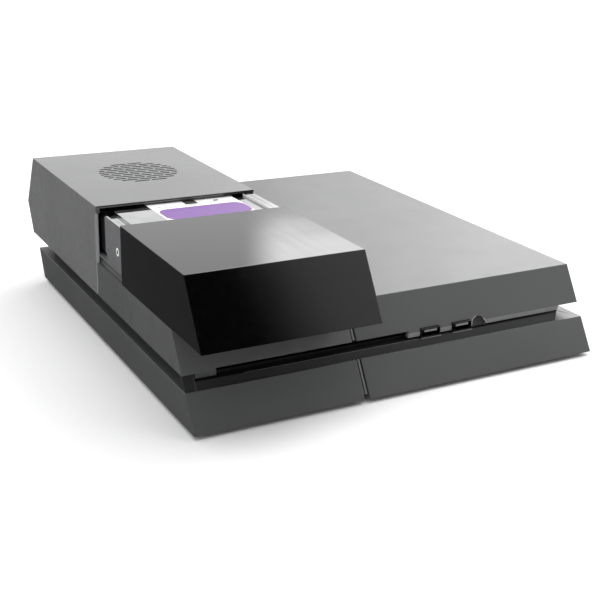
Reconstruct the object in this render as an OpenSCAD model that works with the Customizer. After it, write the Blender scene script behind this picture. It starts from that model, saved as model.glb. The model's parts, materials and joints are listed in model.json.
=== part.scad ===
// Games console with two slanted layers, carrying a hard-drive bank on its left half.
// All lengths are millimetres. Inside place() a point is given as X from the console's left
// side, Y rearwards from the lower layer's front bottom edge, and Z up from the surface that
// the rubber feet stand on. place() moves that to the part's own origin.

/* [Console] */
// Width of both layers
console_w = 275; // [272:1:280]
// Depth of the lower layer along its bottom edge
console_d = 279; // [278:1:284]
// Height of the rubber feet
foot_h = 2.5; // [2:0.5:3]
// Height of the lower layer
lower_h = 20; // [20:0.5:21]
// Height of the open groove between the layers
groove_h = 8; // [8:0.5:8.5]
// Height of the upper layer
upper_h = 21.8; // [21.5:0.1:22.5]
// Setback of the front faces per millimetre of height
front_slope = 0.61; // [0.58:0.01:0.64]
// Overhang of the rear faces per millimetre of height
rear_slope = 0.522; // [0.5:0.01:0.55]
// Wall thickness of the console's mouldings
wall = 2.2; // [2:0.1:2.4]

/* [Drive bank] */
// Width of the bank above the console's top
bank_w = 108.2; // [108:0.1:109]
// Height of the bank above the console's top
bank_h = 36.5; // [36:0.5:37]
// Distance of the housing's front edge behind the console's front bottom edge
housing_y = 153.2; // [152:0.2:155]
// Wall thickness of the housing
housing_wall = 1.8; // [1.6:0.1:2]
// Depth of the sliding cover's top
cover_top_d = 95.6; // [94:0.2:97]
// Distance that the cover has been slid forward from its closed place
cover_open = 44; // [40:0.5:44]
// Wall thickness of the sliding cover
cover_wall = 1.1; // [1:0.05:1.15]

/* [Hard drive] */
// Width of the drive
drive_w = 101.6; // [101.4:0.1:101.8]
// Length of the drive
drive_l = 147; // [146:0.5:147]
// Height of the drive
drive_h = 26.1; // [25.8:0.1:26.1]
// Radius of the platters
platter_r = 47.5; // [46:0.5:47.5]

/* [Disc drive] */
// Width of the disc slot's recess
slot_w = 124; // [122:1:126]
// Width of the disc drive's case
disc_case_w = 126; // [126:0.5:127]
// Depth of the disc drive's case
disc_case_d = 162; // [155:1:164]

/* [Cooling] */
// Radius of the blower's impeller
impeller_r = 36; // [32:1:36]
// Number of impeller blades
blade_count = 36; // [24:1:48]
// Number of heat-sink fins
fin_count = 24; // [16:1:28]
// Radius of the housing's round grille
grille_r = 26.8; // [24:0.2:27]
// Number of slot rows in the round grille
grille_rows = 11; // [9:2:13]

/* [Hidden] */

$fn = 48;

// Levels, from the resting surface upwards
z_lower = foot_h;
z_groove = z_lower + lower_h;
z_upper = z_groove + groove_h;
z_top = z_upper + upper_h;
z_bank = z_top + bank_h;
function front_y(z) = front_slope * (z - foot_h);
function rear_y(z) = console_d + rear_slope * (z - foot_h);
// Horizontal thickness of a slanted wall
front_run = wall * sqrt(1 + front_slope * front_slope);
rear_run = wall * sqrt(1 + rear_slope * rear_slope);

// The gap that splits both layers, just right of the bank
gap_x0 = 105.9;
gap_x1 = 108.9;
insert_gap = 0.9;
insert_x0 = gap_x0 + insert_gap;
insert_x1 = gap_x1 - insert_gap;
insert_set = 0.6;
insert_t = 3;
notch_d = 12;
notch_h = 2.4;
// The light bar behind the split in the upper layer's top
light_y0 = front_y(z_top) + 6;
light_y1 = rear_y(z_top) - 8;
light_t = 3.5;
deck_t = 1.6;
ledge = 19;
opening_y0 = front_y(z_groove) + 12;
opening_y1 = rear_y(z_groove) - 14;

// Core of the groove
core_x0 = 6.5;
core_x1 = 264;
core_y0 = 21.2;
core_y1 = 281;
core_t = 3;
core_turn_x = 253;
strip_h = 4;
strip_set = 1.2;
pillar_x0 = 0.7;
pillar_x1 = 6.3;
pillar_set = 0.8;
pillar_r = 1.4;
lip_z = z_upper - 3;
lip_set = 0.3;
lip_x0 = 7.9;
lip_x1 = core_turn_x + 6;
slot_x0 = 20.3;
slot_x1 = slot_x0 + slot_w;
slot_z = z_groove + 6.6;
slot_gap = 2;
bezel_x0 = 24;
bezel_x1 = 228;
bezel_z0 = z_lower + 6;
bezel_y0 = 275;
bezel_y1 = 278;

// Fasteners that hold the console's layers
post_xy = [[14, 34], [256, 42], [14, 262], [256, 262]];
post_r = 4.5;
screw_r = 1.5;
screw_clear = 0.03;
head_r = 3;
head_h = 2;
head_z = z_lower + 4;
foot_xy = [[30, 22], [245, 22], [30, 258], [245, 258]];
foot_r = 8;
standoff_r = 3.2;
standoff_xy = [[40, 60], [40, 170], [150, 60], [150, 262], [250, 80], [250, 200]];

// Front sockets
usb_x = [153, 176];
usb_w = 13.5;
usb_z0 = z_groove + 4.4;
usb_h = 5;
usb_t = 0.4;
usb_y = front_y(usb_z0) + 1.2;
usb_d = 14;
scoop_x = 195.5;
scoop_r = 5.6;
scoop_z = usb_z0 + 0.6;
scoop_y1 = core_y0 + 1.6;

// Circuit board and what stands on it
board_z = z_lower + 9.5;
board_t = 1.6;
board_top = board_z + board_t;
shield_z = z_lower + 14.5;
shield_t = 0.8;
// Rear sockets: left edge, width, bottom and height of each window
rear_sockets = [
    [38, 22, z_lower + 8, 13.4],
    [140, 11, board_top, 9.6],
    [160, 16.4, board_top, 13.4],
    [184, 15.4, board_top, 6],
    [206, 15.4, board_top, 6]
];
// Outlines on the board as [left, right, front, rear]
board_right = [134, 262, 30, 274.8];
board_left = [22, 134, 30, 186];
processor = [176, 216, 206, 246];
processor_h = 2.6;
foot_in = 4;
chip_h = 1.2;
coil_h = 3;
capacitor_h = 2.8;
supply_x0 = 20;
supply_x1 = 128;
supply_y0 = 192;
supply_y1 = 262;
sink_x0 = 150;
sink_x1 = 242;
sink_y0 = 196;
sink_y1 = 256;
sink_z1 = z_upper + 14;
fin_t = 0.8;
fan_x = 206;
fan_y = 128;
fan_z = shield_z + shield_t + 1;
fan_h = 22;
// Casing radius beyond the impeller, casing wall, and radii of the stub axle and its bore
fan_rim = 8;
fan_wall = 2;
axle_r = 2;
axle_bore_r = 2.05;
impeller_hub_r = 11;

// Disc drive
disc_x0 = slot_x0 + slot_w / 2 - disc_case_w / 2;
disc_x1 = disc_x0 + disc_case_w;
disc_y0 = 24.6;
disc_y1 = disc_y0 + disc_case_d;
disc_z0 = z_groove;
disc_z1 = disc_z0 + 13;
disc_t = 1;
spindle_x = (disc_x0 + disc_x1) / 2;
spindle_y = disc_y0 + 76;
roller_y = disc_y0 + 12;
roller_z = slot_z - 2.9;
roller_r = 2;
sled_y0 = spindle_y + 22;
sled_l = 22;
sled_w = 48;
rod_r = 1.25;
rod_xs = [spindle_x - 20, spindle_x + 20];
rod_z = disc_z0 + 3.4;
bearing_r = 2.03;

// Drive bank
inner_x1 = bank_w - housing_wall;
roof_t = 2.5;
lip_out = 0.8;
brow_t = 1.6;
brow_d = 9;
corner_w = 1.2;
rail_w = 4;
rail_h = 4.8;
rail_in = 2.6;
rail_x = [rail_in, bank_w - rail_in - rail_w];
rail_y0 = 41;
rail_y1 = 262;
deck_x1 = 103.6;
deck_y1 = 286;
groove_d = 0.8;
groove_z = [z_top + 1.4, z_top + 3.4];
hook_slack = 0.2;
hook_y = [62, 98];
hook_l = 9;
cradle_screw_xy = [for (x = rail_x, y = [78, 146, 236]) [x + rail_w / 2, y]];
housing_screw_xy = [[12, 276], [94, 276]];
cover_y1 = housing_y - lip_out - 0.25 - cover_open;
cover_y0 = cover_y1 - cover_top_d;
cover_z0 = z_top + 0.4;
housing_peak = rear_y(z_top) + 9.4;
housing_skirt = rear_y(z_upper) + 9.4;
housing_lean = 0.573;
housing_top_y = housing_peak - housing_lean * bank_h;
housing_rear_t = 2.4;
housing_skirt_t = 2.9;
lip_h = 4.7;
bevel = 1.7;
cheek_gap = 0.3;
cheek_x0 = cover_wall + cheek_gap;
cheek_t = 1.5;
cheek_z0 = z_top + 10.7;
cheek_z1 = [z_bank - cover_wall - 2.1, z_bank - cover_wall - 0.5];
cheek_y0 = 62;
cheek_y1 = [139.6, 152];
// Flange along the top of the right cheek, and the scored line along it
flange_w = 6.8;
flange_t = 0.6;
score_x0 = 102.7;
score_w = 0.35;
score_d = 0.2;
cradle_z = z_top + rail_h;
cradle_t = 0.8;
leg_t = 0.7;
cradle_y1 = 246;
recess_r = 1.25;
grille_x = 55.5;
grille_y = 226.8;

// Hard drive
drive_x0 = bank_w / 2 - drive_w / 2;
drive_x1 = drive_x0 + drive_w;
drive_y0 = 101;
drive_y1 = drive_y0 + drive_l;
drive_z0 = cradle_z + cradle_t + 1.9;
drive_z1 = drive_z0 + drive_h;
pcb_t = 1.2;
pcb_gap = 0.4;
casting_z0 = drive_z0 + pcb_t + pcb_gap;
lid_t = 2.4;
lid_flange_t = 0.7;
label_t = 0.15;
label_x0 = 33;
label_x1 = 92;
casting_z1 = drive_z1 - lid_t;
field_x0 = drive_x0 + 7;
field_x1 = drive_x1 - 5.1;
field_t = 0.8;
field_pocket_x1 = drive_x1 - 10;
field_y0 = drive_y0 + 10;
field_y1 = drive_y1 - 12;
hub_x = drive_x0 + drive_w / 2;
hub_y = drive_y0 + 50.8;
platter_zs = [casting_z0 + 6, casting_z0 + 11, casting_z0 + 16];
platter_t = 1.27;
arm_x = hub_x + 26;
arm_y = hub_y + 58;
arm_l = 52;
parked = 196;
side_screw_y = [118.1, 214];
side_screw_z = z_top + 17.1;
side_head_r = 2.7;
lid_screw_xy = [
    [drive_x0 + 4.6, drive_y0 + 5], [drive_x1 - 5, drive_y0 + 5],
    [drive_x0 + 4.6, drive_y1 - 36], [drive_x1 - 3.6, drive_y1 - 36],
    [drive_x0 + 7, drive_y1 - 5.4], [drive_x1 - 7, drive_y1 - 5.4]
];

// Half the whole length, which puts the origin under the middle of the bounding box
front_most = cover_y0 - front_slope * (z_bank - cover_z0);
mid_y = (front_most + housing_peak) / 2;

// ---- Helpers ----

module place() {
    translate([-console_w / 2, -mid_y, 0]) children();
}

// A side profile of [y, z] points, drawn out along X
module slab(x0, x1, points) {
    translate([x0, 0, 0]) rotate([90, 0, 90]) linear_extrude(x1 - x0) polygon(points);
}

// A plan outline of [x, y] points, drawn up along Z
module plan(z0, z1, points) {
    translate([0, 0, z0]) linear_extrude(z1 - z0) polygon(points);
}

module block(x0, x1, y0, y1, z0, z1) {
    translate([x0, y0, z0]) cube([x1 - x0, y1 - y0, z1 - z0]);
}

// A block over an outline given as [left, right, front, rear]
module tile(plan_box, z0, z1) {
    block(plan_box[0], plan_box[1], plan_box[2], plan_box[3], z0, z1);
}

module post(x, y, z0, z1, r) {
    translate([x, y, z0]) cylinder(h = z1 - z0, r = r);
}

module rotate_about(x, y, a) {
    translate([x, y, 0]) rotate([0, 0, a]) translate([-x, -y, 0]) children();
}

module rod_x(x0, x1, y, z, r) {
    translate([x0, y, z]) rotate([0, 90, 0]) cylinder(h = x1 - x0, r = r);
}

module rod_y(x, y0, y1, z, r) {
    translate([x, y0, z]) rotate([-90, 0, 0]) cylinder(h = y1 - y0, r = r);
}

// Slanted section of a layer between two levels, with its front and rear walls set in
function layer(za, zb, front_in = 0, rear_in = 0) = [
    [front_y(za) + front_in, za],
    [rear_y(za) - rear_in, za],
    [rear_y(zb) - rear_in, zb],
    [front_y(zb) + front_in, zb]
];

// Section of a strip of thickness t that lies along the front face, set in by inset
function front_band(za, zb, inset, t) = [
    [front_y(za) + inset, za],
    [front_y(za) + inset + t, za],
    [front_y(zb) + inset + t, zb],
    [front_y(zb) + inset, zb]
];

// ---- Console casings ----

module lower_shell() color("#2b2c2e") place() difference() {
    union() {
        difference() {
            slab(0, console_w, layer(z_lower, z_groove));
            slab(wall, console_w - wall, layer(z_lower + wall, z_groove - deck_t, front_run, rear_run));
            block(ledge, console_w - ledge, opening_y0, opening_y1, z_groove - 2 * deck_t, z_groove + 1);
        }
        for (p = post_xy) post(p[0], p[1], z_lower, z_groove, post_r);
        // stand-offs under the main board
        for (p = standoff_xy) post(p[0], p[1], z_lower, board_z, standoff_r);
    }
    // screw holes with deep counterbores
    for (p = post_xy) {
        post(p[0], p[1], z_lower - 1, head_z + head_h, head_r + 0.4);
        post(p[0], p[1], z_lower, z_groove + 1, screw_r + 0.2);
    }
    // the split in the front face and its wider mouth at the bottom edge
    block(gap_x0, gap_x1, -1, front_y(z_groove) + front_run + 1, z_lower - 1, z_groove + 1);
    block(gap_x0 - insert_gap, gap_x1, -1, notch_d, z_lower - 1, z_lower + notch_h);
    // window for the rear sockets
    block(bezel_x0 - 0.3, bezel_x1 + 0.3, bezel_y0 - 0.3, 300, bezel_z0 - 0.3, z_groove + 1);
    // air slots in the floor
    for (i = [0 : 13]) block(170 + 5 * i, 172.5 + 5 * i, 92, 162, z_lower - 1, z_lower + wall + 1);
}

// The USB openings and the round scoop, cut through the upper layer's front and the lip below it
module front_openings() {
    for (x = usb_x)
        block(x - 0.1, x + usb_w + 0.1, usb_y - 4, usb_y + usb_d, z_groove, usb_z0 + usb_h + 0.1);
    rod_y(scoop_x, front_y(z_upper) - 6, scoop_y1, scoop_z, scoop_r);
}

module upper_shell() color("#2b2c2e") place() difference() {
    union() {
        difference() {
            slab(gap_x1, console_w, layer(z_upper, z_top));
            slab(gap_x1 + wall, console_w - wall, layer(z_upper - 1, z_top - wall, front_run, rear_run));
        }
        // cup behind the round scoop
        intersection() {
            rod_y(scoop_x, front_y(z_upper) + 1, scoop_y1 + 1.4, scoop_z, scoop_r + 1.2);
            slab(scoop_x - 20, scoop_x + 20, front_band(z_upper + 0.05, z_top, 0.5, 12));
        }
        // ribs that rest on the groove's core
        for (y = [60, 120, 180, 240]) block(console_w - 14, console_w - 1, y, y + 2, z_upper, z_top - 1);
    }
    // disc slot recess
    block(gap_x1 - 1, slot_x1, front_y(z_upper) - 4, core_y0, z_upper - 1, z_upper + 1);
    front_openings();
    // the disc drive passes through the left wall
    block(gap_x1 - 1, gap_x1 + wall + 1, disc_y0 - 1, disc_y1 + 1, z_upper - 1, disc_z1 + 1);
    // exhaust slots in the rear face
    for (i = [0 : 23]) {
        x = gap_x1 + 8 + 6.4 * i;
        block(x, x + 3.6, rear_y(z_upper) - 8, rear_y(z_top) + 2, z_upper + 3.5, z_top - 4);
    }
}

// Lip that turns in under the front face of the upper layer
module front_lip(x0, x1) {
    slab(x0, x1, [
        [front_y(z_upper) + 0.01, z_upper],
        [front_y(z_upper) + front_run, z_upper],
        [front_y(z_upper) + front_run + 0.9, lip_z],
        [front_y(z_upper) + lip_set, lip_z]
    ]);
}

// Plan outline of the groove's core, set in by t
function core_outline(t) = concat(
    [
        [core_x0 + t, core_y0 + t],
        [core_turn_x - t * 0.41, core_y0 + t],
        [core_x1 - t, core_y0 + 11 + t * 0.41]
    ],
    [[core_x1 - t, core_y1 - t]],
    [for (i = [0 : 6]) [core_x0 + 8 - (8 - t) * sin(i * 15), core_y1 - 8 + (8 - t) * cos(i * 15)]]
);

module mid_frame() color("#17181a") place() difference() {
    union() {
        difference() {
            plan(z_groove, z_upper, core_outline(0));
            plan(z_groove - 1, z_upper + 1, core_outline(core_t));
        }
        // posts that take the casing screws, each on a web from the wall
        for (p = post_xy) {
            wall_x = p[0] < console_w / 2 ? core_x0 + 1 : core_x1 - 1;
            post(p[0], p[1], z_groove, z_upper, post_r);
            block(min(p[0], wall_x), max(p[0], wall_x), p[1] - 1, p[1] + 1, z_groove, z_upper);
        }
    }
    for (p = post_xy) post(p[0], p[1], z_groove - 1, z_upper - 1.5, screw_r + screw_clear);
    // opening for the disc
    block(slot_x0 - 1, slot_x1 + 1, core_y0 - 1, core_y0 + core_t + 1, z_groove + strip_h, z_upper + 1);
    // openings for the USB sockets
    for (x = usb_x) block(x - 0.1, x + usb_w + 0.1, usb_y, core_y0 + 12, usb_z0, z_upper + 1);
    // side air slots
    for (i = [0 : 19]) {
        block(core_x0 - 1, core_x0 + core_t + 1, 62 + 9 * i, 67 + 9 * i, z_groove + 1.6, z_upper - 1.6);
        block(core_x1 - core_t - 1, core_x1 + 1, 62 + 9 * i, 67 + 9 * i, z_groove + 1.6, z_upper - 1.6);
    }
    // room behind the rear sockets
    block(bezel_x0 + 3, bezel_x1 - 3, bezel_y1, core_y1 + 1, z_groove - 1, z_upper + 1);
}

// Trim in the front of the groove, on the core's front wall
module front_trim() color("#1c1d1f") place() {
    // flat strip that turns back at its right end
    difference() {
        slab(pillar_x0, core_x1 + 0.4, [
            [front_y(z_groove) + strip_set, z_groove],
            [core_y0, z_groove],
            [core_y0, z_groove + strip_h],
            [front_y(z_groove + strip_h) + strip_set, z_groove + strip_h]
        ]);
        plan(z_groove - 1, z_upper, [
            [core_turn_x, 0],
            [core_turn_x + 40, 0],
            [core_turn_x + 40, 40 + front_y(z_groove)],
            [core_turn_x, front_y(z_groove)]
        ]);
        plan(z_groove - 1, z_upper, core_outline(0));
    }
    // left pillar with a rounded right end
    intersection() {
        union() {
            slab(pillar_x0, pillar_x1, [
                [front_y(z_groove) + pillar_set, z_groove],
                [core_y0, z_groove],
                [core_y0, z_upper],
                [front_y(z_upper) + pillar_set, z_upper]
            ]);
            translate([pillar_x1, front_y(z_groove) + pillar_set + pillar_r, z_groove])
                rotate([-atan(front_slope), 0, 0])
                    translate([0, 0, -3]) cylinder(h = groove_h * 2, r = pillar_r);
        }
        block(0, 20, 0, core_y0, z_groove, z_upper);
    }
    // tongues under the USB sockets
    for (x = usb_x)
        block(x - 1, x + usb_w + 1, usb_y - 0.6, core_y0, z_groove + strip_h - 0.5, usb_z0);
}

// Strips under the front edge of the upper layer, left and right of the disc slot
module front_lips() color("#3a3b3d") place() difference() {
    union() {
        front_lip(lip_x0, slot_x0);
        front_lip(slot_x1, lip_x1);
    }
    front_openings();
}

// Plate with the windows of the rear sockets
module rear_panel() color("#1b1c1e") place() difference() {
    block(bezel_x0, bezel_x1, bezel_y0, bezel_y1, bezel_z0, z_upper);
    for (s = rear_sockets) block(s[0], s[0] + s[1], bezel_y0 - 1, bezel_y1 + 1, s[2], s[2] + s[3]);
}

module rubber_feet() color("#1a1a1a") place() {
    for (p = foot_xy) post(p[0], p[1], 0, foot_h, foot_r);
}

module shell_screws() color("#9a9a9a") place() {
    for (p = post_xy) difference() {
        union() {
            post(p[0], p[1], head_z, head_z + head_h, head_r);
            post(p[0], p[1], head_z + head_h, z_upper - 2, screw_r);
        }
        translate([p[0], p[1], head_z - 1]) cylinder(h = 2, r = 1.2, $fn = 6);
    }
}

// ---- Lights and touch strips in the split ----

module light_bar() color("#d9e2e8") place() {
    z1 = z_top - 0.5;
    block(insert_x0, insert_x1, light_y0, light_y1, z1 - light_t, z1);
    block(gap_x0, gap_x1, light_y0, light_y1, z1 - light_t, z1 - light_t + 1);
}

module touch_strips() color("#c9ced1") place() {
    for (z = [[z_upper + 1.6, z_upper + 10.6], [z_upper + 11.4, z_top - 1]])
        slab(insert_x0, insert_x1, front_band(z[0], z[1], insert_set, insert_t));
}

module lower_accent_strip() color("#aab0b2") place() {
    slab(insert_x0, insert_x1, front_band(z_lower + notch_h + 0.2, z_groove, insert_set, insert_t));
}

// ---- Electronics ----

module main_board() color("#1f4d33") place() difference() {
    union() {
        tile(board_right, board_z, board_top);
        tile(board_left, board_z, board_top);
        // processor package, memory, coils and capacitors
        tile(processor, board_top, board_top + processor_h);
        for (i = [0 : 3]) block(164 + 16 * i, 176 + 16 * i, 184, 193, board_top, board_top + chip_h);
        for (i = [0 : 5]) block(30 + 12 * i, 38 + 12 * i, 168, 176, board_top, board_top + coil_h);
        for (i = [0 : 4]) post(142, 60 + 12 * i, board_top, board_top + capacitor_h, 3);
    }
    for (p = [post_xy[1], post_xy[3]]) post(p[0], p[1], board_z - 1, board_top + 1, post_r + 0.6);
    // clearance for the air slots under the blower
    post(fan_x, fan_y, board_z - 1, board_top + 1, impeller_r - 4);
}

module board_shield() color("#b9bcbf") place() difference() {
    union() {
        block(24, 260, 34, 262, shield_z, shield_z + shield_t);
        for (x = [24, 252], y = [90, 176])
            block(x, x + 8, y, y + shield_t, board_top, shield_z + shield_t);
    }
    block(20, supply_x1 + 4, supply_y0 - 4, 263, shield_z - 1, shield_z + 2);
    for (p = [post_xy[1], post_xy[3]]) post(p[0], p[1], shield_z - 1, shield_z + 2, post_r + 0.6);
    post(fan_x, fan_y, shield_z - 1, shield_z + 2, impeller_r - 6);
    block(sink_x0 + 10, sink_x1 - 10, sink_y0 + 4, sink_y1 - 2, shield_z - 1, shield_z + 2);
    block(128, 240, 258, 263, shield_z - 1, shield_z + 2);
}

module clock_battery() color("#c4c6c8") place() {
    post(150, 150, board_top, board_top + 3.2, 10);
}

module wifi_antenna() color("#2a2a2a") place() {
    block(console_w - wall - 1.2, console_w - wall, 70, 112, z_upper + 4, z_upper + 14);
}

module heat_sink() color("#b0b4b8") place() {
    // copper foot on the processor, base plate and fins
    plate_z = shield_z + shield_t + 1;
    fin_z = plate_z + 3;
    block(processor[0] + foot_in, processor[1] - foot_in, processor[2] + foot_in, processor[3] - foot_in,
        board_top + processor_h, plate_z);
    block(sink_x0, sink_x1, sink_y0, sink_y1, plate_z, fin_z);
    for (i = [0 : fin_count - 1]) {
        x = sink_x0 + i * (sink_x1 - sink_x0 - fin_t) / (fin_count - 1);
        block(x, x + fin_t, sink_y0, sink_y1, fin_z, sink_z1);
    }
    block(sink_x0, sink_x1, sink_y0, sink_y1, sink_z1, sink_z1 + fin_t);
}

module blower_housing() color("#26272a") place() difference() {
    union() {
        post(fan_x, fan_y, fan_z, fan_z + fan_h, impeller_r + fan_rim);
        block(fan_x - impeller_r - fan_rim, fan_x + 30, fan_y, sink_y0 - 1, fan_z, fan_z + fan_h);
        // feet that stand on the board's shield
        for (a = [20, 140, 260]) rotate_about(fan_x, fan_y, a)
            post(fan_x + impeller_r + 4, fan_y, shield_z + shield_t, fan_z + 1, 3);
    }
    difference() {
        union() {
            post(fan_x, fan_y, fan_z + 1.5, fan_z + fan_h - 1.5, impeller_r + fan_rim - fan_wall);
            block(fan_x - impeller_r - fan_rim + fan_wall, fan_x + 30 - fan_wall, fan_y, sink_y0,
                fan_z + 1.5, fan_z + fan_h - 1.5);
        }
        // the motor's stub axle stands on the floor
        post(fan_x, fan_y, fan_z, fan_z + 12, axle_r);
    }
    // inlets above and below
    post(fan_x, fan_y, fan_z + fan_h - 2, fan_z + fan_h + 1, impeller_r - 8);
    difference() {
        post(fan_x, fan_y, fan_z - 1, fan_z + 2, impeller_r - 10);
        post(fan_x, fan_y, fan_z - 1, fan_z + 2, 9);
        block(fan_x - 40, fan_x + 40, fan_y - 2, fan_y + 2, fan_z - 1, fan_z + 2);
    }
}

module blower_impeller() color("#303236") place() translate([fan_x, fan_y, fan_z]) difference() {
    union() {
        translate([0, 0, 2.5]) cylinder(h = 1.5, r = impeller_r);
        translate([0, 0, 2.5]) cylinder(h = 14, r = impeller_hub_r);
        for (i = [0 : blade_count - 1]) rotate([0, 0, i * 360 / blade_count])
            translate([impeller_r - 9, 0, 3]) rotate([0, 0, 35]) cube([9, 0.7, 15]);
    }
    translate([0, 0, 1]) cylinder(h = 12, r = axle_bore_r);
}

module power_supply() color("#1d1e20") place() difference() {
    block(supply_x0, supply_x1, supply_y0, supply_y1, z_lower + wall, z_upper - 1.5);
    for (i = [0 : 9]) {
        x = supply_x0 + 14 + 9 * i;
        block(x, x + 5, supply_y0 - 1, supply_y0 + 60, z_lower + 6, z_upper - 4);
    }
}

// ---- Sockets ----

module power_inlet() color("#1b1b1b") place() difference() {
    s = rear_sockets[0];
    zc = s[2] + s[3] / 2;
    block(s[0] + 0.2, s[0] + s[1] - 0.2, supply_y1, bezel_y1, s[2] + 0.2, s[2] + s[3] - 0.2);
    difference() {
        union() {
            for (x = [s[0] + 7.2, s[0] + s[1] - 7.2]) rod_y(x, bezel_y1 - 11, bezel_y1 + 1, zc, 4.4);
            block(s[0] + 7.2, s[0] + s[1] - 7.2, bezel_y1 - 11, bezel_y1 + 1, zc - 3.2, zc + 3.2);
        }
        for (x = [s[0] + 6.7, s[0] + s[1] - 6.7]) rod_y(x, bezel_y1 - 12, bezel_y1 - 1.5, zc, 1.2);
    }
}

// An open-mouthed socket with a contact tongue, seen from the rear
module rear_socket(s, depth, t, tongue_z, tongue_h) {
    x0 = s[0] + 0.2;
    x1 = s[0] + s[1] - 0.2;
    difference() {
        block(x0, x1, bezel_y1 - depth, bezel_y1, s[2], s[2] + s[3] - 0.2);
        block(x0 + t, x1 - t, bezel_y1 - depth + 1.2, bezel_y1 + 1, s[2] + t, s[2] + s[3] - 0.2 - t);
    }
    z = s[2] + tongue_z;
    block(s[0] + 2, s[0] + s[1] - 2, bezel_y1 - depth + 1, bezel_y1 - 1.5, z, z + tongue_h);
}

module optical_socket() color("#2a2a2a") place() difference() {
    s = rear_sockets[1];
    block(s[0] + 0.2, s[0] + s[1] - 0.2, bezel_y1 - 12, bezel_y1, s[2], s[2] + s[3] - 0.2);
    block(s[0] + 2, s[0] + s[1] - 2, bezel_y1 - 8, bezel_y1 + 1, s[2] + 1.6, s[2] + s[3] - 1.8);
}

module ethernet_socket() color("#8d9194") place() {
    s = rear_sockets[2];
    rear_socket(s, 16, 1.2, 10.2, 0.8);
}

module camera_socket() color("#a7abae") place() {
    rear_socket(rear_sockets[3], 11, 0.4, 2.2, 1.2);
}

module hdmi_socket() color("#a7abae") place() {
    rear_socket(rear_sockets[4], 11, 0.4, 2.2, 1.2);
}

module usb_socket(x) {
    difference() {
        block(x, x + usb_w, usb_y, usb_y + usb_d, usb_z0, usb_z0 + usb_h);
        block(x + usb_t, x + usb_w - usb_t, usb_y - 1, usb_y + usb_d - 1,
            usb_z0 + usb_t, usb_z0 + usb_h - usb_t);
    }
    block(x + 1.2, x + usb_w - 1.2, usb_y + 0.6, usb_y + usb_d - 0.9, usb_z0 + 2.7, usb_z0 + 4.2);
}

module usb_socket_left() color("#b5b9bc") place() {
    usb_socket(usb_x[0]);
}

module usb_socket_right() color("#b5b9bc") place() {
    usb_socket(usb_x[1]);
}

// ---- Disc drive ----

module disc_drive_case() color("#a4a8ab") place() difference() {
    union() {
        block(disc_x0, disc_x1, disc_y0, disc_y1, disc_z0, disc_z1 - disc_t);
        // feet that stand on the board's shield
        for (x = [40, 124], y = [50, 160]) post(x, y, shield_z + shield_t, disc_z0 + disc_t, 3);
    }
    block(disc_x0 + disc_t, disc_x1 - disc_t, disc_y0 + disc_t, disc_y1 - disc_t,
        disc_z0 + disc_t, disc_z1);
    // mouth for the disc
    block(slot_x0 + 0.5, slot_x1 - 0.5, disc_y0 - 1, disc_y0 + 2, slot_z - slot_gap / 2, disc_z1);
    // bearings for the feed roller and the spindle
    rod_x(disc_x0 - 1, disc_x1 + 1, roller_y, roller_z, 1.03);
    post(spindle_x, spindle_y, disc_z0 - 1, disc_z0 + 2, bearing_r);
}

module disc_drive_lid() color("#b7bbbe") place() difference() {
    union() {
        block(disc_x0, disc_x1, disc_y0, disc_y1, disc_z1 - disc_t, disc_z1);
        post(spindle_x, spindle_y, disc_z1 - disc_t, disc_z1 + 0.8, 18);
    }
    post(spindle_x, spindle_y, disc_z1 - 3, disc_z1 + 2, 9);
}

module disc_slot_seal() color("#101010") place() {
    for (z = [[z_groove + strip_h, slot_z - slot_gap / 2], [slot_z + slot_gap / 2, z_upper]])
        block(slot_x0 - 0.9, slot_x1 + 0.9, core_y0 + 0.4, core_y0 + core_t, z[0], z[1]);
}

module feed_roller() color("#34302c") place() {
    rod_x(disc_x0 + 0.2, disc_x1 - 0.2, roller_y, roller_z, 1);
    rod_x(slot_x0 + 4, slot_x1 - 4, roller_y, roller_z, roller_r);
}

module disc_spindle() color("#6f7376") place() {
    post(spindle_x, spindle_y, disc_z0 + 0.1, disc_z0 + disc_t + 0.6, 2);
    post(spindle_x, spindle_y, disc_z0 + disc_t + 0.6, disc_z0 + 4, 13);
    post(spindle_x, spindle_y, disc_z0 + 4, disc_z0 + 6.6, 7.3);
}

module laser_sled() color("#4a4f55") place() difference() {
    union() {
        block(spindle_x - sled_w / 2, spindle_x + sled_w / 2, sled_y0, sled_y0 + sled_l,
            disc_z0 + 1.6, disc_z0 + 5.6);
        post(spindle_x, sled_y0 + 9, disc_z0 + 5, disc_z0 + 5.9, 3);
    }
    for (x = rod_xs) rod_y(x, sled_y0 - 1, sled_y0 + sled_l + 1, rod_z, rod_r + 0.05);
}

module sled_rods() color("#cfd2d4") place() {
    for (x = rod_xs) {
        rod_y(x, spindle_y + 7, disc_y1 - disc_t - 0.2, rod_z, rod_r);
        for (y = [spindle_y + 8, disc_y1 - disc_t - 3]) difference() {
            block(x - 2.4, x + 2.4, y, y + 2, disc_z0 + disc_t, disc_z0 + 5);
            rod_y(x, y - 1, y + 3, rod_z, rod_r);
        }
    }
}

// ---- Drive bank, fixed pieces ----

module bay_adapter() color("#2c2f33") place() {
    block(36, 96, 52, 116, disc_z1 + 1.2, disc_z1 + 6.2);
    block(50, 82, 116, 122, disc_z1 + 1.2, disc_z1 + 5.2);
    for (p = [[40, 56], [92, 56], [40, 112]]) post(p[0], p[1], disc_z1, disc_z1 + 1.4, 2.5);
}

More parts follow.
